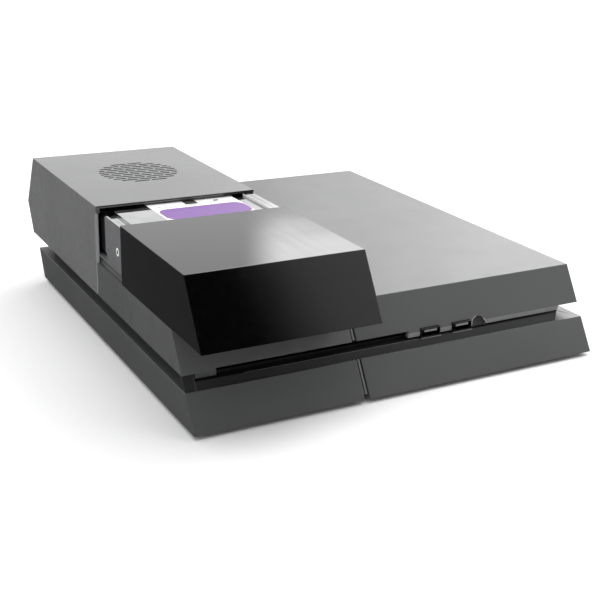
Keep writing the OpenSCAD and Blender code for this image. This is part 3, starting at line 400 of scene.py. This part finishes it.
# Edge radius, in millimetres, of the CAD nodes whose edges can be seen
EDGES = {
    "front_cover": 0.45, "bank_housing": 0.3, "upper_shell": 0.3, "lower_shell": 0.3,
    "bank_base": 0.25, "drive_cradle": 0.12, "drive_lid": 0.15, "drive_casting": 0.2,
    "mid_frame": 0.15, "rubber_feet": 0.5, "drive_side_screws": 0.12, "lid_screws": 0.08,
    "usb_socket_left": 0.08, "usb_socket_right": 0.08, "rear_panel": 0.15, "front_lips": 0.15,
    "power_inlet": 0.15, "ethernet_socket": 0.1, "optical_socket": 0.1,
}


def round_edges(obj, radius, angle):
    """Bevel the edges sharper than angle, in degrees, to a radius in millimetres."""
    bevel = obj.modifiers.new("edge", "BEVEL")
    bevel.width = radius * MM
    bevel.segments = 2
    bevel.limit_method = "ANGLE"
    bevel.angle_limit = math.radians(angle)
    return bevel


def dress_cad_nodes():
    """Each CAD node gets its slot's material, and an edge radius where it can be seen."""
    weld_distance = 0.01 * MM
    for part in frame["record"]["subparts"]:
        name = part["node"]
        node = nodes[name]
        node.data.materials.clear()
        node.data.materials.append(OWN.get(name, SLOTS[part["material_slot"]]))
        if name in EDGES:
            weld = node.modifiers.new("weld", "WELD")
            weld.merge_threshold = weld_distance
            round_edges(node, EDGES[name], 32).use_clamp_overlap = False


dress_cad_nodes()

# ---- Pieces ----

# Pieces are drawn in millimetres, with X from the console's left side, Y rearwards from the lower
# layer's front bottom edge and Z up from the floor, as the CAD model is
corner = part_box("lower_shell")[0]
TO_ROW = Matrix.Translation((corner[0], corner[1], 0)) @ Matrix.Scale(MM, 4)


def mm_box(node):
    """A CAD node's box as ((x0, y0, z0), (x1, y1, z1)) in those millimetres."""
    back = TO_ROW.inverted()
    return tuple(tuple(back @ Vector(end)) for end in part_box(node))


def extrude(mesh, outline, axis, start, end, material=0):
    """Solid from an outline of 2D points, drawn out along axis "x" (points y, z), "y" (x, z)
    or "z" (x, y)."""
    place = {"x": lambda p, t: (t, p[0], p[1]), "y": lambda p, t: (p[0], t, p[1]),
             "z": lambda p, t: (p[0], p[1], t)}[axis]
    low = [mesh.verts.new(place(p, start)) for p in outline]
    high = [mesh.verts.new(place(p, end)) for p in outline]
    count = len(outline)
    faces = [mesh.faces.new(low), mesh.faces.new(high[::-1])]
    for i in range(count):
        j = (i + 1) % count
        faces.append(mesh.faces.new((low[j], low[i], high[i], high[j])))
    for face in faces:
        face.material_index = material


def rounded(x0, x1, y0, y1, radius, steps=5):
    """Outline of a rectangle with round corners."""
    points = []
    for cx, cy, turn in ((x1 - radius, y1 - radius, 0), (x0 + radius, y1 - radius, 90),
                         (x0 + radius, y0 + radius, 180), (x1 - radius, y0 + radius, 270)):
        for i in range(steps + 1):
            a = math.radians(turn + 90 * i / steps)
            points.append((cx + radius * math.cos(a), cy + radius * math.sin(a)))
    return points


def lathe(mesh, profile, centre, axis, steps=36, dark_from=None):
    """Solid of revolution about axis through centre. The profile is (radius, height, lobe) from
    the middle of one end to the middle of the other; lobe waves the radius six times round.
    Faces from profile step dark_from on take the second material."""
    turn = Vector((0, 0, 1)).rotation_difference(Vector(axis)).to_matrix()
    rings = []
    for radius, height, lobe in profile:
        count = 1 if radius == 0 else steps
        ring = []
        for i in range(count):
            a = 2 * math.pi * i / steps
            r = radius * (1 + lobe * math.cos(6 * a))
            point = Vector((r * math.cos(a), r * math.sin(a), height))
            ring.append(mesh.verts.new(turn @ point + Vector(centre)))
        rings.append(ring)
    for step, (a, b) in enumerate(zip(rings, rings[1:])):
        for i in range(steps):
            j = (i + 1) % steps
            corners = (a[i % len(a)], a[j % len(a)], b[j % len(b)], b[i % len(b)])
            # a ring of one point gives the same corner twice
            face = mesh.faces.new(list(dict.fromkeys(corners)))
            face.material_index = 1 if dark_from is not None and step >= dark_from else 0


def tube(mesh, points, radius, sides=10):
    """Round bar along points, with flat ends."""
    rings = []
    for i, point in enumerate(points):
        before, after = points[max(i - 1, 0)], points[min(i + 1, len(points) - 1)]
        along = Vector(after) - Vector(before)
        turn = Vector((0, 0, 1)).rotation_difference(along.normalized()).to_matrix()
        ring = []
        for k in range(sides):
            a = 2 * math.pi * k / sides
            spoke = Vector((radius * math.cos(a), radius * math.sin(a), 0))
            ring.append(mesh.verts.new(turn @ spoke + Vector(point)))
        rings.append(ring)
    for a, b in zip(rings, rings[1:]):
        for k in range(sides):
            j = (k + 1) % sides
            mesh.faces.new((a[k], a[j], b[j], b[k]))
    mesh.faces.new(rings[0][::-1])
    mesh.faces.new(rings[-1])


def piece(name, build, materials, body="console", edge=0.0, replaces=()):
    """A piece from a function that fills a mesh in millimetres; edge is its edge radius."""
    mesh = bmesh.new()
    build(mesh)
    bmesh.ops.recalc_face_normals(mesh, faces=mesh.faces)
    mesh.transform(TO_ROW)
    data = bpy.data.meshes.new(name)
    mesh.to_mesh(data)
    mesh.free()
    data.shade_smooth()
    data.set_sharp_from_angle(angle=math.radians(35))
    for material in materials:
        data.materials.append(material)
    obj = bpy.data.objects.new(name, data)
    bpy.context.scene.collection.objects.link(obj)
    if edge:
        round_edges(obj, edge, 40)
    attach(obj, body)
    if replaces:
        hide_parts(*replaces)


def front_y(z):
    """Y of the console's slanted front faces at height z."""
    lower, upper = mm_box("lower_shell"), mm_box("upper_shell")
    slope = (upper[0][1] - lower[0][1]) / (upper[0][2] - lower[0][2])
    return slope * (z - lower[0][2])


def drive_label_print():
    """The label's plain colour block, dark patches and small marks: no lettering."""
    (x0, y0, _), (x1, _, paper_z) = mm_box("drive_label")
    ink, sunk = 0.03, 0.02
    block_y1 = y0 + 26.5

    def shape(mesh, left, right, front, back, radius, steps=5, raised=0.0):
        outline = rounded(left, right, front, back, radius, steps)
        extrude(mesh, outline, "z", paper_z - sunk, paper_z + ink + raised)

    def block(mesh):
        shape(mesh, x0 + 1.6, x1 - 0.2, y0 + 3, block_y1, 7, 8)
    piece("label_block", block, [mat_purple])

    def marks(mesh):
        mark_h, gap, row_step = 0.7, 1.7, 1.9
        lengths = (3.2, 1.4, 4.6, 2.2, 1.2, 5.4, 2.6, 1.8, 3.6)
        row_y = block_y1 + 2
        for row in range(3):
            x = x0 + 3 + 0.9 * row
            for i, length in enumerate(lengths):
                # every fourth mark is left out, and so are those that would leave the paper
                if x + length < x1 - 2 and (i + row) % 4:
                    shape(mesh, x, x + length, row_y, row_y + mark_h, 0.3, 3)
                x += length + gap
            row_y += row_step
    piece("label_marks", marks, [mat_grey_ink])

    def patches(mesh):
        shape(mesh, x0 + 24, x0 + 32.5, block_y1 + 5.5, block_y1 + 15, 0.5, raised=0.01)
        shape(mesh, x0 + 44, x0 + 47.5, block_y1 + 7, block_y1 + 9.5, 0.3, raised=0.01)
    piece("label_patches", patches, [mat_brown_ink])

    def lower_bars(mesh):
        bar_h, bar_step = 2.2, 7
        for i, width in enumerate((38, 26, 44, 18)):
            front = block_y1 + 24 + bar_step * i
            shape(mesh, x0 + 5, x0 + 5 + width, front, front + bar_h, 0.4)
    piece("label_bars", lower_bars, [mat_grey_ink])


def cradle_edges():
    """Bare top faces of the cradle: a strip inside the left cheek, and the flange along the
    right one."""
    (x0, y0, _), (x1, _, z1) = mm_box("drive_cradle")
    (rim_x0, _, _), (_, _, rim_z1) = mm_box("drive_casting")
    flange_w, proud, sunk, short = 6.8, 0.08, 0.1, 0.1
    # x of a thin line of painted shade along the flange
    shade_line_x0, shade_line_x1 = 102.7, 103.05
    left_y1, right_y1 = 139.6, 152
    front = y0 + 0.3
    left_z1, rim_z = z1 - 1.6, rim_z1 - 1.5
    lid_z = mm_box("drive_label")[1][2] - 0.12

    def build(mesh):
        outer = rounded(shade_line_x1, x1 - proud, front, right_y1 - short, 0.1, 2)
        extrude(mesh, outer, "z", z1 - sunk, z1 + proud)
        # the inner half is turned down to the drive's lid, with a painted highlight along that
        # edge
        inner = x1 - flange_w
        turned = [(inner - proud, z1 + proud), (shade_line_x0, z1 + proud), (shade_line_x0, z1 - sunk),
                  (inner + 0.04, z1 - sunk), (inner + 0.04, lid_z), (inner - proud, lid_z)]
        extrude(mesh, turned, "y", front, right_y1 - short)
        for face in mesh.faces:
            face.normal_update()
            at_edge = abs(face.calc_center_median().x - inner + proud) < 0.01
            if abs(face.normal.x) > 0.9 and at_edge:
                face.material_index = 1
        # the left strip is folded down between the cheek and the drive
        fold_x, outer_x, inner_x = x0 + 0.62, rim_x0 - 0.2, rim_x0 - 0.02
        low, top = left_z1 - 0.05, left_z1 + 0.12
        fold = [(fold_x, low), (fold_x, top), (inner_x, top), (inner_x, rim_z),
                (outer_x, rim_z), (outer_x, low)]
        extrude(mesh, fold, "y", front, left_y1 - short)
    piece("cradle_edges", build, [mat_bare, mat_nickel_and_highlight], edge=0.04)

    # painted shade: dark strips on the left cheek's top and in a thin line along the flange, where
    # shadow falls at their edges
    def shade_strips(mesh):
        cheek = rounded(x0 + 0.02, x0 + 0.6, front, left_y1 - short, 0.1, 2)
        extrude(mesh, cheek, "z", left_z1 - sunk, left_z1 + 0.05)
        shade_line = rounded(shade_line_x0, shade_line_x1, y0 + 0.4, right_y1 - 0.2, 0.05, 2)
        extrude(mesh, shade_line, "z", z1 - 0.21, z1 + 0.02)
    piece("cheek_painted_shade", shade_strips, [mat_painted_shade])


def trim_edge():
    """Thin painted highlight along the top edge of the strip in the groove."""
    x0, _, z0 = mm_box("front_trim")[0]
    strip_z, strip_set, radius = z0 + 4, 1.2, 0.14

    def build(mesh):
        y = front_y(strip_z) + strip_set + 0.1
        tube(mesh, [(x0 + 36, y, strip_z), (x0 + 150, y, strip_z)], radius, 8)
    # the tray's lighter plastic serves as the highlight's colour
    piece("trim_edge", build, [mat_tray])


def side_screws():
    """Bright domed screws, one in each cheek, with a lobed socket painted dark as shade."""
    (x0, y0, z0), (x1, y1, z1) = mm_box("drive_side_screws")
    centre_y, centre_z = (y0 + y1) / 2, (z0 + z1) / 2
    head, shaft, length = (z1 - z0) / 2, 1.5, 5.4
    profile = [(0, -length, 0), (shaft, -length, 0), (shaft, -0.66, 0), (head, -0.66, 0),
               (head, -0.28, 0), (head - 0.3, -0.02, 0), (head - 0.9, 0.1, 0),
               (1.3, 0.02, 0.08), (1.12, -0.2, 0.1), (1.05, -0.6, 0.1), (0, -0.62, 0)]
    socket_from = 7

    def build(mesh):
        lathe(mesh, profile, (x0, centre_y, centre_z), (-1, 0, 0), dark_from=socket_from)
        lathe(mesh, profile, (x1, centre_y, centre_z), (1, 0, 0), dark_from=socket_from)
    piece("side_screw_heads", build, [mat_nickel_and_highlight, mat_painted_shade],
          replaces=["drive_side_screws"])


def lid_screws():
    """Low pan heads with a six-lobed socket painted dark as shade, at the places of the CAD
    model's lid screws.
    """
    (x0, y0, _), (x1, y1, z1) = mm_box("lid_screws")
    head, shaft, length, seat = 1.9, 1, 5.4, 0.4
    left, right, front, middle, back = x0 + head, x1 - head, y0 + head, 212, y1 - head
    places = [(left, front), (right - 1.4, front), (left, middle), (right, middle),
              (left + 2.4, back), (right - 3.4, back)]
    profile = [(0, -length, 0), (shaft, -length, 0), (shaft, 0, 0), (head, 0, 0), (head, 0.3, 0),
               (head - 0.3, 0.42, 0), (0.85, 0.42, 0.12), (0.8, 0.1, 0.12), (0, 0.1, 0)]
    socket_from = 6

    def build(mesh):
        for x, y in places:
            lathe(mesh, profile, (x, y, z1 - seat), (0, 0, 1), dark_from=socket_from)
    piece("lid_screw_heads", build, [mat_screw, mat_painted_shade],
          replaces=["lid_screws"])


def usb_details():
    """White tongues with four contacts in the USB sockets, and the lips below them, lightened by a
    painted highlight.
    """
    contact_w, contact_pitch = 1.1, 2.0
    for side in ("left", "right"):
        (x0, y0, z0), (x1, _, _) = mm_box("usb_socket_" + side)

        def tongue(mesh):
            outline = rounded(x0 + 2.2, x1 - 2.2, z0 + 2.85, z0 + 4.25, 0.2, 3)
            extrude(mesh, outline, "y", y0 + 0.35, y0 + 10)
        piece("usb_tongue_" + side, tongue, [mat_tongue], edge=0.08)

        def contacts(mesh):
            for i in range(4):
                x = x0 + 3.2 + contact_pitch * i
                outline = rounded(x, x + contact_w, z0 + 2.6, z0 + 2.9, 0.08, 2)
                extrude(mesh, outline, "y", y0 + 1.2, y0 + 9)
        piece("usb_contacts_" + side, contacts, [mat_gold])

        # painted highlight: the lip is lighter, as its edge catches the light
        def lip(mesh):
            outline = rounded(x0 - 0.6, x1 + 0.6, z0 - 0.75, z0 - 0.1, 0.25, 4)
            extrude(mesh, outline, "y", y0 - 0.85, y0 + 0.2)
        piece("usb_lip_" + side, lip, [mat_lip_highlight], edge=0.1)


def scoop():
    """Painted highlights on the edge of the scoop in the upper layer's front, and the scoop's
    dished bottom, coloured dark as painted shade.
    """
    centre_x, centre_z = 195.5, mm_box("usb_socket_left")[0][2] + 0.6
    z_upper = mm_box("upper_shell")[0][2]

    def rim(mesh):
        radius, proud, thick, steps = 5.6, 0.12, 0.22, 16
        # two arcs, in degrees from the right: painted highlights on the edge, only where it
        # catches the light
        for start, end in ((14, 46), (98, 168)):
            points = []
            for i in range(steps + 1):
                a = math.radians(start + (end - start) * i / steps)
                x, z = centre_x + radius * math.cos(a), centre_z + radius * math.sin(a)
                points.append((x, front_y(z) + proud, z))
            tube(mesh, points, thick)
    piece("scoop_rim", rim, [mat_painted_highlight])

    # painted shade: the dish lies near the front face and is coloured dark as the shadowed hollow
    def dish(mesh):
        # rings as (radius, depth behind the front face), closed at the middle and at the back
        rings = ((5.5, 0.9), (4.4, 1.3), (2.5, 1.7))
        steps, back_y = 24, front_y(z_upper) + 5.6
        turns = [math.pi * i / steps for i in range(steps + 1)]
        front, back = [], []
        for r, depth in rings:
            arc = [(centre_x + r * math.cos(a), centre_z + r * math.sin(a)) for a in turns]
            front.append([mesh.verts.new((x, front_y(z) + depth, z)) for x, z in arc])
            back.append([mesh.verts.new((x, back_y, z)) for x, z in arc])
        for side in (front, back):
            for outer, inner in zip(side, side[1:]):
                for i in range(steps):
                    mesh.faces.new((outer[i], outer[i + 1], inner[i + 1], inner[i]))
            mesh.faces.new(side[-1])
        for i in range(steps):
            mesh.faces.new((front[0][i], front[0][i + 1], back[0][i + 1], back[0][i]))
        for i in (0, -1):
            for k in range(len(rings) - 1):
                mesh.faces.new((front[k][i], front[k + 1][i], back[k + 1][i], back[k][i]))
        mesh.faces.new((front[-1][0], front[-1][-1], back[-1][-1], back[-1][0]))
    piece("scoop_dish", dish, [mat_dish_shade])


def wall_edge():
    """Painted highlight on a bevel down the front of the housing's left wall."""
    (x0, y0, z0), (_, _, z1) = mm_box("bank_housing")
    bevel, lip_out, corner_h, proud = 1.7, 0.8, 4.7, 0.05
    face = y0 + lip_out
    outline = [(x0 + bevel - proud, face - proud), (x0 + bevel, face + 0.2),
               (x0 + 0.2, face + bevel), (x0 - proud + 0.05, face + bevel - proud)]

    def build(mesh):
        extrude(mesh, outline, "z", z0 + 0.5, z1 - corner_h - 0.1)
    piece("wall_edge", build, [mat_painted_highlight], edge=0.04)


def brow_painted_shadow():
    """Painted shadow along the top of the housing's front edge, wider at its right end."""
    (x0, y0, _), (x1, _, z1) = mm_box("bank_housing")
    wide_x, top = x1 - 22, z1 - 0.12

    def build(mesh):
        for left, right, low in ((x0 + 0.4, wide_x, z1 - 0.85), (wide_x, x1 - 0.25, z1 - 1.58)):
            extrude(mesh, rounded(left, right, low, top, 0.12, 2), "y", y0 - 0.04, y0 + 0.15)
    piece("brow_painted_shadow", build, [mat_painted_shade])


def rear_details():
    """Contacts, lamps and pins in the rear sockets."""
    (net_x0, _, net_z0), (net_x1, net_y1, net_z1) = mm_box("ethernet_socket")

    def contacts(mesh):
        for node in ("hdmi_socket", "camera_socket"):
            (x0, _, z0), (_, y1, _) = mm_box(node)
            for i in range(9):
                x = x0 + 2.6 + 1.12 * i
                outline = rounded(x, x + 0.5, z0 + 2.08, z0 + 2.3, 0.06, 2)
                extrude(mesh, outline, "y", y1 - 8, y1 - 1.8)
        for i in range(8):
            x = net_x0 + 3.8 + 1.15 * i
            wire = [(x, net_y1 - 3, net_z1 - 3.0), (x, net_y1 - 7, net_z1 - 4.4),
                    (x, net_y1 - 11, net_z1 - 4.9)]
            tube(mesh, wire, 0.18, 8)
    piece("rear_contacts", contacts, [mat_gold])

    def lamps(mesh):
        for i, x in enumerate((net_x0 + 0.35, net_x1 - 2.55)):
            outline = rounded(x, x + 2.2, net_z0 + 0.3, net_z0 + 1.1, 0.2, 3)
            extrude(mesh, outline, "y", net_y1 - 0.3, net_y1 + 0.08, i)
    piece("network_lamps", lamps, [mat_green, mat_amber])

    def pins(mesh):
        (x0, _, z0), (x1, y1, z1) = mm_box("power_inlet")
        radius, length = 1.24, 9.4
        profile = [(0, -length, 0), (radius, -length, 0), (radius, -0.7, 0), (0.9, -0.15, 0),
                   (0, 0, 0)]
        for x in (x0 + 6.5, x1 - 6.5):
            lathe(mesh, profile, (x, y1 - 1.45, (z0 + z1) / 2), (0, 1, 0), 24)
    piece("inlet_pins", pins, [mat_bright])


def exhaust_baffle():
    """Dark plate behind the right end of the rear slots, so that no light shows through them."""
    (_, _, z0), (x1, y1, z1) = mm_box("upper_shell")
    slope, wall, gap, thick, width = 0.522, 2.2, 2.6, 0.6, 29

    def rear_y(z):
        return y1 - slope * (z1 - z)

    def build(mesh):
        low, high = z0 + 0.3, z1 - wall - 0.2
        outline = [(rear_y(low) - wall - gap - thick, low), (rear_y(low) - wall - gap, low),
                   (rear_y(high) - wall - gap, high), (rear_y(high) - wall - gap - thick, high)]
        extrude(mesh, outline, "x", x1 - width, x1 - wall - 0.3)
    piece("exhaust_baffle", build, [mat_frame])


def feet():
    """Moulded rubber feet with a dished middle and a rounded tread."""
    (x0, y0, _), (x1, y1, z1) = mm_box("rubber_feet")
    radius = 8
    profile = [(0, 0.5, 0), (4.4, 0.5, 0), (4.8, 0.1, 0), (5.2, 0, 0), (7.1, 0, 0),
               (7.7, 0.2, 0), (radius, 0.8, 0), (radius, z1, 0), (0, z1, 0)]

    def build(mesh):
        for x in (x0 + radius, x1 - radius):
            for y in (y0 + radius, y1 - radius):
                lathe(mesh, profile, (x, y, 0), (0, 0, 1), 40)
    piece("foot_pads", build, [mat_rubber], replaces=["rubber_feet"])


def blank_sticker():
    """Plain sticker under the console, where a rating plate would be."""
    underside = mm_box("lower_shell")[0][2]

    def build(mesh):
        outline = rounded(60, 130, 150, 185, 2.5)
        extrude(mesh, outline, "z", underside - 0.08, underside + 0.02)
    piece("blank_sticker", build, [mat_blank])


drive_label_print()
cradle_edges()
trim_edge()
side_screws()
lid_screws()
usb_details()
scoop()
wall_edge()
brow_painted_shadow()
rear_details()
exhaust_baffle()
feet()
blank_sticker()

# ---- Studio ----


def make_floor():
    """Round pale floor, far wider than the view."""
    data = bpy.data.meshes.new("floor")
    mesh = bmesh.new()
    bmesh.ops.create_circle(mesh, cap_ends=True, segments=96, radius=14)
    mesh.to_mesh(data)
    mesh.free()
    floor = bpy.data.objects.new("floor", data)
    bpy.context.scene.collection.objects.link(floor)

    def build(t):
        cloud = t.noise(1.2, 2)
        return {
            "Base Color": t.mix(t.remap(cloud, 0, 1), (0.94, 0.94, 0.94), (0.95, 0.95, 0.95)),
        }
    data.materials.append(shader("floor_paper", build, Roughness=0.9, Specular_IOR_Level=0.1))
    # the gloss of the object doesn't mirror the floor
    floor.visible_glossy = False


def direction(azimuth, elevation):
    """Unit vector: azimuth in degrees from +Y towards +X, elevation above the floor."""
    a, e = math.radians(azimuth), math.radians(elevation)
    return Vector((math.sin(a) * math.cos(e), math.cos(a) * math.cos(e), math.sin(e)))


def make_world(levels, panels):
    """Soft studio light in which every edge is smooth. levels holds the azimuth of the room's
    bright side, the radiance there and on the opposite side, the radiance of the side below the
    horizon, and what the ceiling adds. Each panel, (azimuth from, to, elevation from, to, edge,
    gain), adds light, or takes some away, over an area whose edge is that many degrees soft."""
    world = bpy.data.worlds.new("studio")
    bpy.context.scene.world = world
    world.use_nodes = True
    t = Nodes(world.node_tree)
    output = t.new("ShaderNodeOutputWorld")
    background = t.new("ShaderNodeBackground")
    t.link(background.outputs[0], output.inputs["Surface"])
    coords = t.new("ShaderNodeTexCoord")

    def along(vector):
        dot = t.new("ShaderNodeVectorMath", operation="DOT_PRODUCT")
        t.link(coords.outputs["Generated"], dot.inputs[0])
        dot.inputs[1].default_value = vector
        return dot.outputs["Value"]

    def step(vector, soft, start=0.0):
        """0 on one side of a plane and 1 on the other, smooth over soft degrees."""
        half = math.radians(soft) / 2
        return t.remap(along(vector), 0, 1, start - half, start + half, smooth=True)

    middle, near, far, below, ceiling = levels
    # the change from room to floor side lies below the horizon, which the floor hides
    horizon, ceiling_el = 0.03, 62
    room = t.remap(along(direction(middle, 0)), far, near, -0.6, 0.6, smooth=True)
    total = t.math("MULTIPLY", room, step((0, 0, 1), 3, -horizon))
    floor_side = t.math("MULTIPLY", step((0, 0, -1), 3, horizon), below)
    total = t.math("ADD", total, floor_side)
    overhead = step((0, 0, 1), 16, math.sin(math.radians(ceiling_el)))
    total = t.math("ADD", total, t.math("MULTIPLY", overhead, ceiling))
    for az0, az1, el0, el1, soft, gain in panels:
        from_side, to_side = direction(az0 + 90, 0), direction(az1 - 90, 0)
        inside = t.math("MULTIPLY", step(from_side, soft), step(to_side, soft))
        for el, sign in ((el0, 1), (el1, -1)):
            edge = step((0, 0, sign), soft, sign * math.sin(math.radians(el)))
            inside = t.math("MULTIPLY", inside, edge)
        total = t.math("ADD", total, t.math("MULTIPLY", inside, gain))
    t.link(t.math("MAXIMUM", total, 0.0), background.inputs["Strength"])
    t.value(background, "Color", (1, 1, 1, 1))


def studio():
    """Floor, light and plain colour management."""
    make_floor()
    levels = (20, 1.24, 0.85, 0.1, 1.2)
    panels = [
        (27, 85, 16.3, 50, 2.5, 2.4),  # behind to the right: mirrored by the cover's top
        (37, 85, 12, 50, 5, 1.45),  # the brighter part of that panel
        (147, 215, 15, 60, 5, -0.85),  # a dim place in front: keeps the front faces dark
        (95, 138, 12, 45, 14, 0.7),  # to the right: lightens the right end of the front
    ]
    make_world(levels, panels)
    scene = bpy.context.scene
    scene.view_settings.view_transform = "Standard"
    scene.view_settings.look = "None"


studio()
